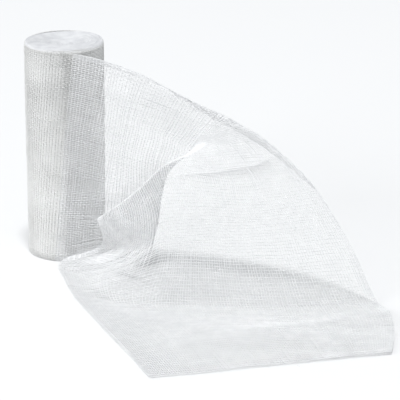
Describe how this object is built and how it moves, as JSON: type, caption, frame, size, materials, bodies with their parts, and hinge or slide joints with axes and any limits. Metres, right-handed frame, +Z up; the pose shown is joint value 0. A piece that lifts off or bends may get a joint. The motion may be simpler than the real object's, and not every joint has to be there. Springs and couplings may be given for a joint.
{
  "type": "gauze bandage roll",
  "caption": "Upright roll of white open-weave gauze bandage, its loose end drawn off the front, pleated once and laid flat on the table.",
  "frame": {"origin": "centre of the roll's flat base, on the table", "axes": "+Z up along the roll's axis; the loose end leaves the roll's front (-Y side) towards +X and comes down towards -Y"},
  "size_m": [0.1658, 0.1703, 0.1003],
  "materials": {
    "wound_gauze": "matt bleached cotton, wound turns",
    "open_gauze": "matt bleached cotton, open plain weave"
  },
  "bodies": {
    "root": {"wound_roll": "wound_gauze", "loose_end": "open_gauze"}
  },
  "joints": []
}
